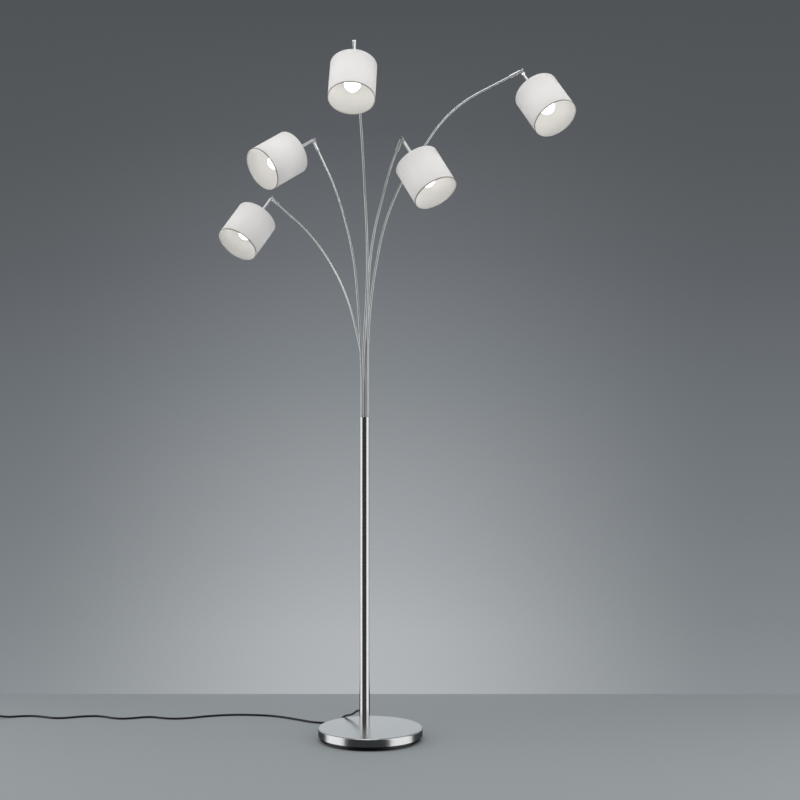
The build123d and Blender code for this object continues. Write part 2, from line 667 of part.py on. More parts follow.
# Lower shell: half of the oval body and the lower halves of both cord noses.
with BuildPart() as switch_base:
    with BuildSketch():
        with Locations((switch_x, switch_y)):
            SlotOverall(switch_length, switch_width)
    extrude(amount=lead_height)
    fillet(switch_base.edges().group_by(Axis.Z)[0], switch_wall / 2)
    for x, way in noses:
        with BuildSketch(Plane(origin=(x - way.X * switch_round, switch_y, lead_height), z_dir=way)):
            Circle(switch_nose_dia / 2)
        extrude(amount=switch_nose + switch_round)
    with BuildSketch(Plane.XY.offset(lead_height)):
        with Locations((switch_x, switch_y)):
            Rectangle(switch_length + 4 * switch_nose, 2 * switch_width)
    extrude(amount=switch_height, mode=Mode.SUBTRACT)
    with BuildSketch(Plane.XY.offset(switch_floor)):
        with Locations((switch_x, switch_y)):
            SlotOverall(switch_length - 2 * switch_wall, switch_width - 2 * switch_wall)
    extrude(amount=lead_height, mode=Mode.SUBTRACT)
switch_base.part.label = "switch_base"
export_step(switch_base.part, "parts/switch_base.step")

# Upper shell with the round opening of the pedal.
with BuildPart() as switch_cover:
    with BuildSketch(Plane.XY.offset(lead_height)):
        with Locations((switch_x, switch_y)):
            SlotOverall(switch_length, switch_width)
    extrude(amount=switch_height - lead_height)
    fillet(switch_cover.edges().group_by(Axis.Z)[-1], switch_round)
    for x, way in noses:
        with BuildSketch(Plane(origin=(x - way.X * switch_round, switch_y, lead_height), z_dir=way)):
            Circle(switch_nose_dia / 2)
        extrude(amount=switch_nose + switch_round)
    with BuildSketch(Plane.XY):
        with Locations((switch_x, switch_y)):
            Rectangle(switch_length + 4 * switch_nose, 2 * switch_width)
    extrude(amount=lead_height, mode=Mode.SUBTRACT)
    with BuildSketch(Plane.XY.offset(lead_height)):
        with Locations((switch_x, switch_y)):
            SlotOverall(switch_length - 2 * switch_wall, switch_width - 2 * switch_wall)
    extrude(amount=switch_height - lead_height - switch_wall, mode=Mode.SUBTRACT)
    with BuildSketch(Plane.XY.offset(lead_height)):
        with Locations((switch_x, switch_y)):
            Circle(pedal_hole)
    extrude(amount=switch_height, mode=Mode.SUBTRACT)
switch_cover.part.label = "switch_cover"
export_step(switch_cover.part, "parts/switch_cover.step")

# Pedal: a round cap with a skirt that keeps it in, on a post above the contact.
skirt_top = switch_height - switch_wall - seat_gap
with BuildPart() as switch_pedal:
    with BuildSketch(Plane.XY.offset(skirt_top - pedal_skirt)):
        with Locations((switch_x, switch_y)):
            Circle(pedal_dia / 2 + pedal_skirt_extra)
    extrude(amount=pedal_skirt)
    with BuildSketch(Plane.XY.offset(skirt_top)):
        with Locations((switch_x, switch_y)):
            Circle(pedal_dia / 2)
    extrude(amount=switch_height + pedal_stand - skirt_top)
    fillet(switch_pedal.edges().group_by(Axis.Z)[-1], pedal_stand / 3)
    with BuildSketch(Plane.XY.offset(switch_floor + pedal_travel + seat_gap)):
        with Locations((switch_x, switch_y)):
            Circle(pedal_post_dia / 2)
    extrude(amount=skirt_top - switch_floor - pedal_travel - seat_gap)
switch_pedal.part.label = "switch_pedal"
export_step(switch_pedal.part, "parts/switch_pedal.step")

# ---------------------------------------------------------------- plug
plug_way = Vector(-side, 0, 0)
plug_plane = Plane(origin=cord_end, x_dir=plug_way, z_dir=up)

# Flat two-pin plug body, narrow at the cord and wide at the pins.
with BuildPart() as plug_body:
    with BuildSketch(plug_plane):
        with BuildLine():
            Polyline(
                (plug_length, plug_width / 2), (plug_length * 0.6, plug_width / 2),
                (plug_length * 0.25, plug_neck_width / 2), (0, plug_neck_width / 2),
                (0, -plug_neck_width / 2), (plug_length * 0.25, -plug_neck_width / 2),
                (plug_length * 0.6, -plug_width / 2), (plug_length, -plug_width / 2),
                close=True,
            )
        make_face()
    extrude(amount=coil_top, both=True)
    fillet(plug_body.edges().filter_by(Axis.Z), plug_round)
    chamfer(plug_body.edges().group_by(Axis.Z)[-1] + plug_body.edges().group_by(Axis.Z)[0], plug_round / 2)
plug_body.part.label = "plug_body"
export_step(plug_body.part, "parts/plug_body.step")

# Two round pins with round ends.
plug_face = plug_plane.from_local_coords((plug_length, 0, 0))
with BuildPart() as plug_pins:
    with BuildSketch(Plane(origin=plug_face, x_dir=(0, 1, 0), z_dir=plug_way)):
        with Locations((-pin_spacing / 2, 0), (pin_spacing / 2, 0)):
            Circle(pin_dia / 2)
    extrude(amount=pin_length)
    fillet(plug_pins.edges().group_by(Axis(tuple(cord_end), tuple(plug_way)))[-1], pin_dia / 3)
plug_pins.part.label = "plug_pins"
export_step(plug_pins.part, "parts/plug_pins.step")
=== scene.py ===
import json
import math

import bmesh
import bpy
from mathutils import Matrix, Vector


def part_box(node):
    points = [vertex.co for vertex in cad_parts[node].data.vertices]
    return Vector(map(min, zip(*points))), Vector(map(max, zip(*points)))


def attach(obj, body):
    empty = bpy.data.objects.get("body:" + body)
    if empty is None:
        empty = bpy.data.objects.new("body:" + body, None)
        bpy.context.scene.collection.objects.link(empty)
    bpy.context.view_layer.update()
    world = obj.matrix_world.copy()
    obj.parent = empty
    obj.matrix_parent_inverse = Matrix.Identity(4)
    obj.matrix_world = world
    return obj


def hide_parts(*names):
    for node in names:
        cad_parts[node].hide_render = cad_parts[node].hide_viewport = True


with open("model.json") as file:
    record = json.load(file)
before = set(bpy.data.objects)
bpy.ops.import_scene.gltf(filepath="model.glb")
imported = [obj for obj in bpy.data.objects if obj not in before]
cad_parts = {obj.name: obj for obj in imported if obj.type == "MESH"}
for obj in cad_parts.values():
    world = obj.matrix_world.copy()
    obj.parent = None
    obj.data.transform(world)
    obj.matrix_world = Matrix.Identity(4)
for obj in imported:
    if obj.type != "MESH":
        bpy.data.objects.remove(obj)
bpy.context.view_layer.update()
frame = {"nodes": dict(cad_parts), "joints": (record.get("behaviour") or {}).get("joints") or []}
nodes = frame["nodes"]
hinges = {joint["name"]: joint for joint in frame["joints"]}
mm = 0.001

# ---------------------------------------------------------------- the view
# The lamp is seen from its front at about eye height, level, from a little right of its pole,
# through a long lens.
camera_place = (0.102, -4.139, 0.964)
focal_pixels = 1434
photo_width = 800
sensor_width = 36               # in millimetres, as the lens is
near_clip = 0.05

camera_data = bpy.data.cameras.new("front_view")
camera_data.sensor_width = sensor_width
camera_data.lens = sensor_width * focal_pixels / photo_width
camera_data.clip_start = near_clip
camera = bpy.data.objects.new("front_view", camera_data)
camera.location = camera_place
camera.rotation_euler = (math.radians(90), 0, 0)
bpy.context.scene.collection.objects.link(camera)
bpy.context.scene.camera = camera
bpy.context.scene.view_settings.view_transform = "Standard"


# ---------------------------------------------------------------- the room
# A plain studio: a pale grey floor, and close behind the lamp a grey wall, which hides the lamp
# from a camera at its back. On the wall a pool of light is painted low in its middle, and painted
# shade darkens it to its top and ends.
# A tall softbox stands at each side and a broad one hangs above.
def linear(hex_colour):
    """An sRGB hex colour as linear red, green, blue and alpha."""
    channels = [int(hex_colour[i:i + 2], 16) / 255 for i in (1, 3, 5)]
    return [c / 12.92 if c <= 0.04045 else ((c + 0.055) / 1.055) ** 2.4 for c in channels] + [1]


def add_node(tree, kind, links=None, **settings):
    """Adds a node, sets its properties and inputs, and links its inputs from other sockets."""
    node = tree.nodes.new(kind)
    for key, value in settings.items():
        if key in node.inputs:
            node.inputs[key].default_value = value
        else:
            setattr(node, key, value)
    for key, socket in (links or {}).items():
        tree.links.new(socket, node.inputs[key])
    return node


def new_material(name, hex_colour, roughness, metallic=0.0):
    """A material with one Principled shader, and that shader and its tree."""
    material = bpy.data.materials.new(name)
    material.use_nodes = True
    shader = material.node_tree.nodes["Principled BSDF"]
    shader.inputs["Base Color"].default_value = linear(hex_colour)
    shader.inputs["Roughness"].default_value = roughness
    shader.inputs["Metallic"].default_value = metallic
    return material, shader, material.node_tree


floor_front = -5.4
floor_back = 0.563
floor_reach = 4.2
floor_grade_start = -0.6        # painted shade darkens the floor from here to the wall
floor_near_tone = "#9fa4a7"
floor_shaded_far_tone = "#999ea1"
wall_reach = 1.75               # the softboxes stand past the wall's ends
wall_height = 2.6


def backdrop(name, corners, material):
    """One flat face of the room."""
    mesh = bpy.data.meshes.new(name)
    mesh.from_pydata(corners, [], [(0, 1, 2, 3)])
    mesh.materials.append(material)
    face = bpy.data.objects.new(name, mesh)
    bpy.context.scene.collection.objects.link(face)
    return face


floor_paint_and_painted_shade, floor_shader, floor_tree = new_material("floor_paint_and_painted_shade", floor_near_tone, 0.75)
floor_place = add_node(floor_tree, "ShaderNodeTexCoord")
floor_parts = add_node(floor_tree, "ShaderNodeSeparateXYZ", {"Vector": floor_place.outputs["Object"]})
floor_share = add_node(floor_tree, "ShaderNodeMapRange", {"Value": floor_parts.outputs["Y"]})
floor_share.inputs["From Min"].default_value = floor_grade_start
floor_share.inputs["From Max"].default_value = floor_back
# The floor's tone is painted darker towards the wall: painted shade, not a change in the floor itself.
floor_painted_shade_grade = add_node(floor_tree, "ShaderNodeMix", {"Factor": floor_share.outputs["Result"]},
                       data_type="RGBA")
floor_painted_shade_grade.inputs["A"].default_value = linear(floor_near_tone)
floor_painted_shade_grade.inputs["B"].default_value = linear(floor_shaded_far_tone)
floor_tree.links.new(floor_painted_shade_grade.outputs["Result"], floor_shader.inputs["Base Color"])
floor_grain = add_node(floor_tree, "ShaderNodeTexNoise", Scale=260.0, Detail=2.0)
floor_bump = add_node(floor_tree, "ShaderNodeBump", {"Height": floor_grain.outputs["Fac"]}, Strength=0.02)
floor_tree.links.new(floor_bump.outputs["Normal"], floor_shader.inputs["Normal"])
floor = backdrop("floor", [
    (-floor_reach, floor_front, 0), (floor_reach, floor_front, 0),
    (floor_reach, floor_back, 0), (-floor_reach, floor_back, 0),
], floor_paint_and_painted_shade)
floor.visible_glossy = False    # metal mirrors no floor, so the pole's bands run down to its foot

# The wall's painted tones by height in metres: painted shade at its ends and top, and a painted pool
# of light behind the pole. It glows with these tones whatever light falls on it, and glows brighter
# where metal mirrors it, as a painted reflection.
painted_shade_edge_tones = [
    (0.0, "#8b9094"), (0.25, "#81868a"), (0.60, "#767b7f"), (1.00, "#6b7074"),
    (1.40, "#5e6266"), (1.80, "#55595c"), (2.25, "#505457"),
]
painted_light_pool_tones = [
    (0.0, "#b2b6b9"), (0.20, "#b0b4b7"), (0.45, "#a3a7ab"), (0.75, "#95999d"), (1.05, "#82878b"),
    (1.45, "#6d7175"), (1.85, "#5a5e62"), (2.25, "#505457"),
]
lit_pool_centre = -0.02
lit_pool_half_width = 1.25               # half the pool's width
painted_reflection_boost = 0.45           # how much brighter the wall's glow is painted where metal mirrors it, as a share


def tone_ramp(tree, source, tones):
    """A colour that runs through tones by height, up to the last one's."""
    share = add_node(tree, "ShaderNodeMapRange", {"Value": source})
    share.inputs["From Max"].default_value = tones[-1][0]
    ramp = add_node(tree, "ShaderNodeValToRGB", {"Fac": share.outputs["Result"]})
    while len(ramp.color_ramp.elements) < len(tones):
        ramp.color_ramp.elements.new(0.5)
    for stop, (height, tone) in zip(ramp.color_ramp.elements, tones):
        stop.position = height / tones[-1][0]
        stop.color = linear(tone)
    return ramp.outputs["Color"]


# The wall's glow carries painted light and painted shade: a pool of light behind the pole, and shade
# towards its top and ends.
painted_light_wall = bpy.data.materials.new("painted_light_and_shade_wall")
painted_light_wall.use_nodes = True
wall_tree = painted_light_wall.node_tree
wall_tree.nodes.remove(wall_tree.nodes["Principled BSDF"])
wall_place = add_node(wall_tree, "ShaderNodeTexCoord")
wall_parts = add_node(wall_tree, "ShaderNodeSeparateXYZ", {"Vector": wall_place.outputs["Object"]})
wall_aside = add_node(wall_tree, "ShaderNodeMath", {0: wall_parts.outputs["X"]}, operation="SUBTRACT")
wall_aside.inputs[1].default_value = lit_pool_centre
wall_distance = add_node(wall_tree, "ShaderNodeMath", {0: wall_aside.outputs[0]}, operation="ABSOLUTE")
lit_pool_share = add_node(wall_tree, "ShaderNodeMapRange", {"Value": wall_distance.outputs[0]},
                     interpolation_type="SMOOTHSTEP")
lit_pool_share.inputs["From Max"].default_value = lit_pool_half_width
wall_mix = add_node(wall_tree, "ShaderNodeMix", {"Factor": lit_pool_share.outputs["Result"]}, data_type="RGBA")
wall_tree.links.new(tone_ramp(wall_tree, wall_parts.outputs["Z"], painted_light_pool_tones), wall_mix.inputs["A"])
wall_tree.links.new(tone_ramp(wall_tree, wall_parts.outputs["Z"], painted_shade_edge_tones), wall_mix.inputs["B"])
# Painted reflection: where metal mirrors the wall, its glow is made brighter than where it is seen.
wall_rays = add_node(wall_tree, "ShaderNodeLightPath")
wall_strength = add_node(wall_tree, "ShaderNodeMath", {0: wall_rays.outputs["Is Glossy Ray"]},
                         operation="MULTIPLY_ADD")
wall_strength.inputs[1].default_value = painted_reflection_boost
wall_strength.inputs[2].default_value = 1.0
glowing_painted_wall = add_node(wall_tree, "ShaderNodeEmission",
                     {"Color": wall_mix.outputs["Result"], "Strength": wall_strength.outputs[0]})
wall_tree.links.new(glowing_painted_wall.outputs[0], wall_tree.nodes["Material Output"].inputs["Surface"])
backdrop("wall", [
    (-wall_reach, floor_back, 0), (wall_reach, floor_back, 0),
    (wall_reach, floor_back, wall_height), (-wall_reach, floor_back, wall_height),
], painted_light_wall)

# The rest of the room: grey where it is seen, dim where metal mirrors it, so that the softboxes
# draw clear bands on the plated tubes, and a soft white fill for everything else.
world = bpy.data.worlds.new("studio")
bpy.context.scene.world = world
world.use_nodes = True
sky = world.node_tree
sky.nodes.clear()
sky_fill = add_node(sky, "ShaderNodeBackground", Color=linear("#f8f9fa"), Strength=0.52)
sky_seen = add_node(sky, "ShaderNodeBackground", Color=linear("#8b9093"), Strength=1.0)
sky_mirrored = add_node(sky, "ShaderNodeBackground", Color=linear("#3a3d40"), Strength=1.0)
rays = add_node(sky, "ShaderNodeLightPath")
mirror_or_fill = add_node(sky, "ShaderNodeMixShader", {"Fac": rays.outputs["Is Glossy Ray"]})
sky.links.new(sky_fill.outputs[0], mirror_or_fill.inputs[1])
sky.links.new(sky_mirrored.outputs[0], mirror_or_fill.inputs[2])
all_rays = add_node(sky, "ShaderNodeMixShader", {"Fac": rays.outputs["Is Camera Ray"]})
sky.links.new(mirror_or_fill.outputs[0], all_rays.inputs[1])
sky.links.new(sky_seen.outputs[0], all_rays.inputs[2])
add_node(sky, "ShaderNodeOutputWorld", {"Surface": all_rays.outputs[0]})


def softbox(name, place, aim, width, height, watts):
    """A rectangular soft light at a place, turned to shine at a point."""
    data = bpy.data.lights.new(name, "AREA")
    data.shape = "RECTANGLE"
    data.size, data.size_y = width, height
    data.energy = watts
    light = bpy.data.objects.new(name, data)
    light.location = place
    light.rotation_euler = (Vector(aim) - Vector(place)).to_track_quat("-Z", "Y").to_euler()
    bpy.context.scene.collection.objects.link(light)


softbox("left_softbox", (-2.18, -0.31, 0.75), (0, 0, 0.75), 2.2, 3.6, 29)
softbox("right_softbox", (2.09, -0.68, 0.75), (0, 0, 0.75), 2.4, 3.6, 30)
softbox("top_softbox", (-0.3, -1.2, 3.6), (0, 0, 0.4), 2.4, 1.8, 34)


# ---------------------------------------------------------------- base and pole
# A cast iron disc under a pressed steel cover, with a steel tube bolted down off its middle, both
# plated and brushed to satin nickel. The black tray under them shows as a dark band, on a felt pad.
def set_material(material, *names):
    """Gives CAD nodes their material."""
    for name in names:
        nodes[name].data.materials.clear()
        nodes[name].data.materials.append(material)


gloss_spread = 0.06             # how far a nickel finish's roughness wanders to each side
scratch_depth = 0.2 * mm


def brushed_nickel(name, hex_colour, roughness, stretch, streak, depth):
    """Nickel plate over brushed steel. `stretch` squeezes the grain along one axis, `streak` is
    the scratch spacing in metres, coarser than real so that it shows, and `depth` its bump."""
    material, shader, tree = new_material(name, hex_colour, roughness, 1.0)
    place = add_node(tree, "ShaderNodeTexCoord")
    squeeze = add_node(tree, "ShaderNodeMapping", {"Vector": place.outputs["Object"]}, Scale=stretch)
    grain = add_node(tree, "ShaderNodeTexNoise", {"Vector": squeeze.outputs["Vector"]},
                     Scale=1 / streak, Detail=3.0, Roughness=0.6)
    tone = add_node(tree, "ShaderNodeMapRange", {"Value": grain.outputs["Fac"]})
    tone.inputs["To Min"].default_value = roughness - gloss_spread
    tone.inputs["To Max"].default_value = roughness + gloss_spread
    tree.links.new(tone.outputs["Result"], shader.inputs["Roughness"])
    bump = add_node(tree, "ShaderNodeBump", {"Height": grain.outputs["Fac"]},
                    Strength=depth, Distance=scratch_depth)
    tree.links.new(bump.outputs["Normal"], shader.inputs["Normal"])
    return material


# The pole is brushed along its length: fine upright scratches under sharp upright bands of light.
pole_nickel = brushed_nickel("brushed_nickel_along", "#d8d8d6", 0.17, (1, 1, 0.02), 0.8 * mm, 0.08)
set_material(pole_nickel, "pole", "arm_holder")

# The cover is turned: its brush lines are rings round its own middle, so its grain follows the
# distance from there.
base_middle = (0.018, -0.065)   # from the pole's axis
cover_roughness = 0.24
rings_per_metre = 1400.0        # coarser than real, so that they show
cover_nickel, cover_shader, cover_tree = new_material("turned_nickel", "#d3d4d4", cover_roughness, 1.0)
cover_place = add_node(cover_tree, "ShaderNodeTexCoord")
cover_centred = add_node(cover_tree, "ShaderNodeMapping", {"Vector": cover_place.outputs["Object"]},
                         Location=(-base_middle[0], -base_middle[1], 0))
cover_parts = add_node(cover_tree, "ShaderNodeSeparateXYZ", {"Vector": cover_centred.outputs["Vector"]})
cover_flat = add_node(cover_tree, "ShaderNodeCombineXYZ",
                      {"X": cover_parts.outputs["X"], "Y": cover_parts.outputs["Y"]})
cover_radius = add_node(cover_tree, "ShaderNodeVectorMath", {0: cover_flat.outputs["Vector"]},
                        operation="LENGTH")
cover_rings = add_node(cover_tree, "ShaderNodeTexNoise", {"W": cover_radius.outputs["Value"]},
                       noise_dimensions="1D", Scale=rings_per_metre, Detail=3.0)
cover_gloss = add_node(cover_tree, "ShaderNodeMapRange", {"Value": cover_rings.outputs["Fac"]})
cover_gloss.inputs["To Min"].default_value = cover_roughness - gloss_spread
cover_gloss.inputs["To Max"].default_value = cover_roughness + gloss_spread
cover_tree.links.new(cover_gloss.outputs["Result"], cover_shader.inputs["Roughness"])
cover_bump = add_node(cover_tree, "ShaderNodeBump", {"Height": cover_rings.outputs["Fac"]},
                      Strength=0.08, Distance=scratch_depth)
cover_tree.links.new(cover_bump.outputs["Normal"], cover_shader.inputs["Normal"])
set_material(cover_nickel, "base_cover")


def grained(name, hex_colour, roughness, grain_size, depth, metallic=0.0, spread=0.05):
    """A moulded, cast, felted or painted finish: one colour, with a grain in its gloss and bump."""
    material, shader, tree = new_material(name, hex_colour, roughness, metallic)
    place = add_node(tree, "ShaderNodeTexCoord")
    grain = add_node(tree, "ShaderNodeTexNoise", {"Vector": place.outputs["Object"]},
                     Scale=1 / grain_size, Detail=4.0)
    tone = add_node(tree, "ShaderNodeMapRange", {"Value": grain.outputs["Fac"]})
    tone.inputs["To Min"].default_value = roughness - spread
    tone.inputs["To Max"].default_value = roughness + spread
    tree.links.new(tone.outputs["Result"], shader.inputs["Roughness"])
    bump = add_node(tree, "ShaderNodeBump", {"Height": grain.outputs["Fac"]},
                    Strength=depth, Distance=grain_size)
    tree.links.new(bump.outputs["Normal"], shader.inputs["Normal"])
    return material


# Moulded black plastic with a faint spark-eroded grain, matt felt, rough raw iron and a dull,
# cloudy zinc plate on the nut.
moulded_black = grained("moulded_black_polystyrene", "#0d0e0f", 0.42, 1.2 * mm, 0.15)
set_material(moulded_black, "base_tray")
set_material(grained("black_felt", "#101011", 0.95, 0.8 * mm, 0.9), "base_pad")
set_material(grained("cast_iron", "#3b3b3c", 0.62, 3 * mm, 0.6, metallic=0.85), "base_weight")
set_material(grained("zinc_plate", "#b4b8bd", 0.38, 2 * mm, 0.1, metallic=1.0), "pole_nut")

# ---------------------------------------------------------------- arms and hinges
# Thin bent steel tubes with turned sleeves and stems at their ends, all in the same satin nickel;
# the small socket screws and nuts of the hinges are a shade darker.
# The satin plate gives a soft grey shine with no clear mirror image.
arm_nickel = brushed_nickel("satin_nickel", "#dcdddd", 0.46, (1, 1, 1), 1.2 * mm, 0.01)
screw_steel = grained("nickel_plated_screw", "#8f9091", 0.3, 1 * mm, 0.05, metallic=1.0)
head_names = [name[len("shade_frame_"):] for name in nodes if name.startswith("shade_frame_")]
for head in head_names:
    set_material(arm_nickel, f"arm_{head}", f"knuckle_{head}", f"stem_{head}")
    set_material(screw_steel, f"hinge_screw_{head}")


# ---------------------------------------------------------------- lampholders
# White moulded lampholders with a screwed ring that clamps the shade's frame, and the frame itself:
# steel wire, welded and powder coated white.
# Smooth white plastic with a soft shine, and powder coat with its fine orange peel.
holder_white = grained("moulded_white_pbt", "#e6e4df", 0.38, 1.5 * mm, 0.05)
frame_white = grained("white_powder_coat", "#e2e0dc", 0.5, 0.6 * mm, 0.25)
for head in head_names:
    set_material(holder_white, f"lampholder_{head}", f"shade_ring_{head}")
    set_material(frame_white, f"shade_frame_{head}")

# ---------------------------------------------------------------- bulbs
# A round opal bulb with an E14 screw cap: rolled brass thread with a nickel wash, a black glass
# bead at its end, and a white glowing glass. All lengths run from the bulb's tip.
bulb_radius = 22.5 * mm
bulb_length = 76 * mm
bulb_cap_radius = 6.95 * mm
bulb_cap_length = 22 * mm
bulb_neck_radius = 9.5 * mm
neck_taper = 1 * mm             # how much slimmer the neck is a little before the round glass
neck_taper_length = 4 * mm
cap_lip = 0.05 * mm
cap_lip_length = 0.1 * mm
bead_outline = [(0, 0), (2.6 * mm, 0), (3.1 * mm, 0.9 * mm), (5.4 * mm, 2.2 * mm), (6.3 * mm, 3 * mm)]
thread_start = 3.6 * mm
thread_pitch = 2.82 * mm
thread_depth = 0.35 * mm
threads = 6
thread_steps = 4                # outline points in each thread
globe_steps = 22                # outline points round the glass
bulb_around = 48
bulb_tip_drop = 102 * mm        # from the hinge to the bulb's tip


def head_axis(head):
    """The hinge of a head, and the way that its stem and shade point."""
    low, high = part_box(f"shade_{head}")
    hinge = Vector(hinges[f"head_tilt_{head}"]["pos_m"])
    middle = (Vector(low) + Vector(high)) / 2
    return hinge, (middle - hinge).normalized()


def turned(name, origin, axis, outline, around, materials, faces):
    """A piece turned about an axis. `outline` is a list of (radius, distance along the axis) points,
    and `faces` gives each of its strips a material by number. Its UV map holds metres round and along."""
    side = axis.orthogonal().normalized()
    other = axis.cross(side)
    mesh = bpy.data.meshes.new(name)
    build = bmesh.new()
    uv_layer = build.loops.layers.uv.new("UVMap")
    rings = []
    for radius, along in outline:
        if radius < 1e-7:
            rings.append([build.verts.new(origin + axis * along)])
            continue
        ring = []
        for step in range(around):
            turn = 2 * math.pi * step / around
            spoke = side * math.cos(turn) + other * math.sin(turn)
            ring.append(build.verts.new(origin + axis * along + spoke * radius))
        rings.append(ring)
    travelled = [0.0]
    for (r0, a0), (r1, a1) in zip(outline, outline[1:]):
        travelled.append(travelled[-1] + math.hypot(r1 - r0, a1 - a0))
    widest = max(radius for radius, along in outline)
    for strip, (first, second) in enumerate(zip(rings, rings[1:])):
        for step in range(around):
            after = (step + 1) % around
            corners = [(first, step, 0), (first, after, 0), (second, after, 1), (second, step, 1)]
            used, places = [], []
            for ring, index, row in corners:
                vert = ring[index] if len(ring) > 1 else ring[0]
                if vert in used:
                    continue
                used.append(vert)
                turn_step = step + 1 if index == after and index != step else step
                places.append((turn_step / around * 2 * math.pi * widest, travelled[strip + row]))
            if len(used) < 3:
                continue
            face = build.faces.new(used)
            face.smooth = True
            face.material_index = faces[strip]
            for loop, place in zip(face.loops, places):
                loop[uv_layer].uv = place
    bmesh.ops.recalc_face_normals(build, faces=build.faces)
    build.to_mesh(mesh)
    build.free()
    for material in materials:
        mesh.materials.append(material)
    piece = bpy.data.objects.new(name, mesh)
    bpy.context.scene.collection.objects.link(piece)
    return piece


# Lit opal glass, the brightest thing in the shade, over bright worn metal and glossy black glass.
opal_glass, opal_shader, opal_tree = new_material("opal_glass_lit", "#fbfaf6", 0.25)
opal_shader.inputs["Emission Color"].default_value = linear("#fffdf8")
opal_shader.inputs["Emission Strength"].default_value = 3.0
cap_metal = grained("nickel_washed_brass", "#c9c4b4", 0.3, 2 * mm, 0.05, metallic=1.0)
bead_glass = grained("black_glass_bead", "#141416", 0.15, 2 * mm, 0.02)
bulb_materials = (opal_glass, cap_metal, bead_glass)
glass_face, cap_face, bead_face = 0, 1, 2

bulb_outline = list(bead_outline)
bulb_faces = [bead_face, bead_face, bead_face, cap_face]
for step in range(threads * thread_steps):
    groove = thread_depth * (1 - math.cos(2 * math.pi * step / thread_steps)) / 2
    bulb_outline.append((bulb_cap_radius - groove, thread_start + thread_pitch * step / thread_steps))
    bulb_faces.append(cap_face)
bulb_outline.append((bulb_cap_radius, bulb_cap_length))
bulb_faces.append(cap_face)
globe_middle = bulb_length - bulb_radius
neck_end = globe_middle - math.sqrt(bulb_radius ** 2 - bulb_neck_radius ** 2)
bulb_outline.append((bulb_cap_radius + cap_lip, bulb_cap_length + cap_lip_length))
bulb_outline.append((bulb_neck_radius - neck_taper, neck_end - neck_taper_length))
start_turn = math.asin(bulb_neck_radius / bulb_radius)
for step in range(globe_steps):
    turn = start_turn + (math.pi - start_turn) * step / globe_steps
    bulb_outline.append((bulb_radius * math.sin(turn), globe_middle - bulb_radius * math.cos(turn)))
bulb_outline.append((0, bulb_length))
bulb_faces += [glass_face] * (len(bulb_outline) - 1 - len(bulb_faces))

for head in head_names:
    hinge, way = head_axis(head)
    bulb = turned(f"lit_bulb_{head}", hinge + way * bulb_tip_drop, way, bulb_outline, bulb_around,
                  bulb_materials, bulb_faces)
    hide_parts(f"bulb_{head}")
    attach(bulb, f"head_{head}")

# ---------------------------------------------------------------- shades
# A drum of off-white chintz laminated on a thin stiff backing. Both edges are turned in over a
# wire. The lower one lets no glow through, and round the opening its outer edge is painted darker,
# as painted shade where the wire holds back the bulb's light.
shade_radius = 65 * mm
shade_top = 89 * mm             # from the hinge to the top rim
shade_height = 120 * mm
cloth_wall = 0.9 * mm
hem_width = 3.2 * mm
hem_depth = 2.2 * mm
hem_round = 0.6 * mm
hem_lip = 0.8 * mm              # how far in from the rim the hem's inner face starts
hem_step = 0.3 * mm             # from the hem's end to the lining
thread_spacing = 1.1 * mm       # real threads lie 0.25 mm apart, too fine to show
wave_scale = math.pi / 10 / thread_spacing
shade_levels = 10
shade_around = 96
light_tint = "#f6f5f6"          # of what comes through


def let_light_through(tree, share):
    """Makes a share of a thin wall's shader light that comes through it."""
    through = add_node(tree, "ShaderNodeBsdfTranslucent", Color=linear(light_tint))
    mix = add_node(tree, "ShaderNodeMixShader", Fac=share)
    tree.links.new(tree.nodes["Principled BSDF"].outputs[0], mix.inputs[1])
    tree.links.new(through.outputs[0], mix.inputs[2])
    tree.links.new(mix.outputs[0], tree.nodes["Material Output"].inputs["Surface"])


# The cloth is matt and woven, with a faint sheen, and glows evenly from the bulb behind it.
shade_cloth, cloth_shader, cloth = new_material("laminated_chintz", "#f2f1ef", 0.72)
cloth_shader.inputs["Sheen Weight"].default_value = 0.15
cloth_uv = add_node(cloth, "ShaderNodeUVMap", uv_map="UVMap")
warp = add_node(cloth, "ShaderNodeTexWave", {"Vector": cloth_uv.outputs["UV"]},
                bands_direction="X", Scale=wave_scale, Distortion=0.6, Detail=1.0)
weft = add_node(cloth, "ShaderNodeTexWave", {"Vector": cloth_uv.outputs["UV"]},
                bands_direction="Y", Scale=wave_scale, Distortion=0.6, Detail=1.0)
weave = add_node(cloth, "ShaderNodeMath", {0: warp.outputs["Fac"], 1: weft.outputs["Fac"]},
                 operation="MULTIPLY")
cloth_bump = add_node(cloth, "ShaderNodeBump", {"Height": weave.outputs[0]},
                      Strength=0.25, Distance=0.2 * mm)
cloth.links.new(cloth_bump.outputs["Normal"], cloth_shader.inputs["Normal"])
let_light_through(cloth, 0.5)

# The hem's grey-brown is painted shade: the turned-in cloth, darkened where the wire keeps the bulb's
# glow from it.
painted_shade_hem = grained("painted_shade_on_hem", "#8f877e", 0.8, 0.8 * mm, 0.4)
lining = grained("white_laminate", "#f4f2ee", 0.45, 2 * mm, 0.04)
let_light_through(lining.node_tree, 0.4)
shade_materials = (shade_cloth, painted_shade_hem, lining)
cloth_face, hem_face, lining_face = 0, 1, 2

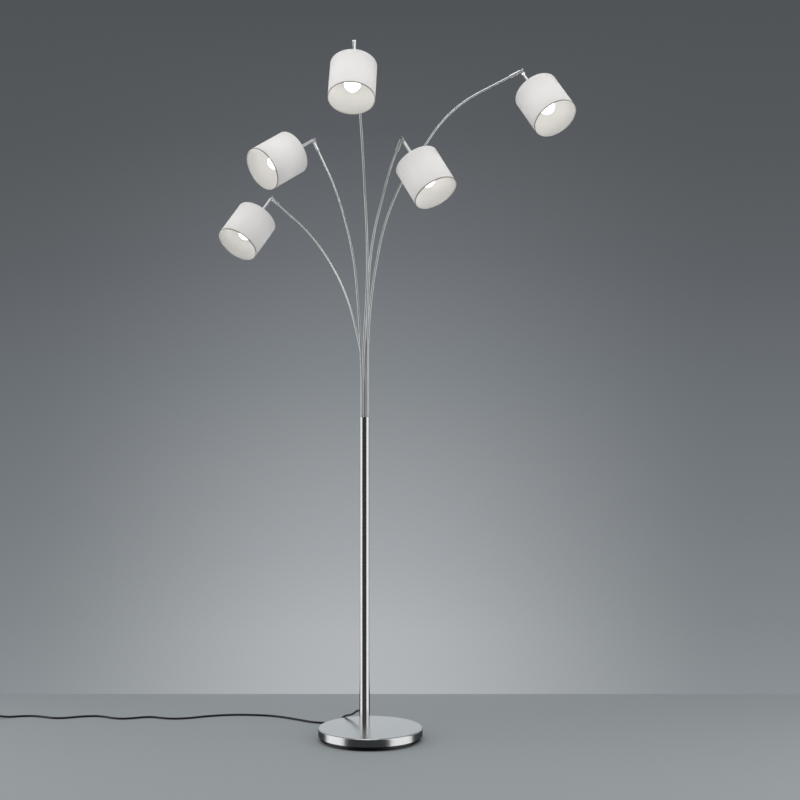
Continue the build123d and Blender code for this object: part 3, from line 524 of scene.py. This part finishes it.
shade_foot = shade_top + shade_height
lining_radius = shade_radius - cloth_wall
hem_radius = shade_radius - hem_depth
shade_outline = [
    (hem_radius, shade_top + hem_width), (hem_radius, shade_top + hem_lip),
    (hem_radius + hem_round, shade_top), (shade_radius - hem_round, shade_top),
    (shade_radius, shade_top + hem_round), (shade_radius, shade_top + hem_width),
]
for level in range(1, shade_levels):
    drop = (shade_height - 2 * hem_width) * level / shade_levels
    shade_outline.append((shade_radius, shade_top + hem_width + drop))
shade_outline.append((shade_radius, shade_foot - hem_width))
shade_faces = [cloth_face] * (len(shade_outline) - 1)
shade_outline += [(shade_radius, shade_foot - hem_round), (shade_radius - hem_round, shade_foot)]
shade_faces += [hem_face] * 2
shade_outline += [
    (hem_radius + hem_round, shade_foot), (hem_radius, shade_foot - hem_lip),
    (hem_radius, shade_foot - hem_width), (lining_radius, shade_foot - hem_width - hem_step),
    (lining_radius, shade_top + hem_width + hem_step), shade_outline[0],
]
shade_faces += [lining_face] * 6

for head in head_names:
    hinge, way = head_axis(head)
    shade = turned(f"cloth_shade_{head}", hinge, way, shade_outline, shade_around,
                   shade_materials, shade_faces)
    weld = bmesh.new()          # closes the outline's end onto its start
    weld.from_mesh(shade.data)
    bmesh.ops.remove_doubles(weld, verts=weld.verts, dist=1e-6)
    bmesh.ops.recalc_face_normals(weld, faces=weld.faces)
    weld.to_mesh(shade.data)
    weld.free()
    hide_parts(f"shade_{head}")
    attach(shade, f"head_{head}")

# ---------------------------------------------------------------- mains cord
# A round black PVC cord: out of the pole's foot at the back, over the edge of the base, away over
# the floor in slack waves to a foot switch, and from there into a neat coil with the plug.
cord_radius = 3 * mm
lead_height = 9.6 * mm
outlet_angle = math.radians(125)
outlet_face = 18 * mm           # from the pole's axis to the grommet's end
outlet_height = 64 * mm
outlet_run = 16 * mm            # straight out of the grommet
outlet_way = Vector((math.cos(outlet_angle), math.sin(outlet_angle), 0))
cord_start = outlet_way * outlet_face + Vector((0, 0, outlet_height))
cord_fall = [
    (-0.038, 0.044, 0.046), (-0.057, 0.063, 0.040), (-0.070, 0.086, 0.027),
    (-0.083, 0.107, 0.009), (-0.106, 0.128, 0.003),
]
cord_floor = [
    (-0.156, 0.135), (-0.213, 0.181), (-0.278, 0.224), (-0.345, 0.239), (-0.416, 0.241),
    (-0.483, 0.223), (-0.538, 0.192), (-0.595, 0.183), (-0.657, 0.217), (-0.707, 0.191),
    (-0.753, 0.184), (-0.810, 0.225), (-0.865, 0.219), (-0.930, 0.185), (-1.003, 0.224),
    (-1.048, 0.223), (-1.086, 0.208),
]
switch_middle = Vector((-1.196, 0.195, 0))
switch_half = 52 * mm           # from its middle to where the cord goes in
switch_lead = 28 * mm
drop_length = 34 * mm           # over which the cord comes down to the floor
coil_lead = 54 * mm
coil_radius = 41 * mm
coil_pitch = 6.6 * mm
coil_layer = 6.6 * mm
coil_half_turns = 4
coil_tail = 30 * mm
tail_bend_share = 0.55          # of the tail's length, from the plug
arc_points = 6                  # control points in each half turn

route = [cord_start, cord_start + outlet_way * outlet_run]
route += [Vector(point) for point in cord_fall]
route += [Vector((x, y, cord_radius)) for x, y in cord_floor]
switch_right = switch_middle + Vector((switch_half, 0, lead_height))
switch_left = switch_middle + Vector((-switch_half, 0, lead_height))
route += [switch_right + Vector((switch_lead, 0, 0)), switch_right, switch_left]
lead_in = switch_left - Vector((2 * cord_radius, 0, 0))
route.append(lead_in)
for share, height in ((0.3, lead_height), (0.7, cord_radius), (1.0, cord_radius)):
    route.append(Vector((lead_in.x - drop_length * share, lead_in.y, height)))

coil_x = switch_left.x - coil_lead
coil_top = cord_radius + coil_layer
side = 1
edge_y = switch_middle.y
swell = 1 / (0.75 + 0.25 * math.cos(math.pi / arc_points))    # a spline runs inside its points
half_turns = []                 # radius, height at the start and height at the end
for rank in range(coil_half_turns):
    half_turns.append((coil_radius - rank * coil_pitch / 2, cord_radius, cord_radius))
upper_turns = [(radius, coil_top, coil_top) for radius, start, end in reversed(half_turns)]
half_turns.append((coil_radius - coil_half_turns * coil_pitch / 2, cord_radius, coil_top))
half_turns += upper_turns
for radius, start_height, end_height in half_turns:
    middle_y = edge_y + side * radius
    for step in range(arc_points):
        share = (step + 0.5) / arc_points
        turn = math.pi * share
        route.append(Vector((
            coil_x - side * radius * swell * math.sin(turn),
            middle_y - side * radius * swell * math.cos(turn),
            start_height + (end_height - start_height) * share,
        )))
    edge_y += side * 2 * radius
    side = -side
cord_end = Vector((coil_x + coil_tail, edge_y, coil_top))
route += [cord_end - Vector((coil_tail * tail_bend_share, 0, 0)), cord_end]

cord_curve = bpy.data.curves.new("mains_cord", "CURVE")
cord_curve.dimensions = "3D"
cord_curve.bevel_depth = cord_radius
cord_curve.bevel_resolution = 4
cord_curve.resolution_u = 8
cord_curve.use_fill_caps = True
spline = cord_curve.splines.new("NURBS")
spline.points.add(len(route) - 1)
for point, place in zip(spline.points, route):
    point.co = (*place, 1)
spline.order_u = 3
spline.use_endpoint_u = True
cord_black = grained("black_pvc_sheath", "#0a0a0b", 0.42, 1.5 * mm, 0.08)    # smooth, half matt
cord_curve.materials.append(cord_black)
mains_cord = bpy.data.objects.new("mains_cord", cord_curve)
bpy.context.scene.collection.objects.link(mains_cord)
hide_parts("cord_run", "cord_coil")
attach(mains_cord, "base")

# ---------------------------------------------------------------- switch, plug and grommet
# Black moulded fittings on the cord, and the grommet that keeps it off the pole's edge.
set_material(moulded_black, "cord_grommet", "switch_base", "switch_cover")
set_material(grained("moulded_black_pedal", "#17181a", 0.5, 1.2 * mm, 0.2), "switch_pedal")
set_material(cord_black, "plug_body")
set_material(grained("nickel_plated_pin", "#cfcabb", 0.2, 2 * mm, 0.03, metallic=1.0), "plug_pins")
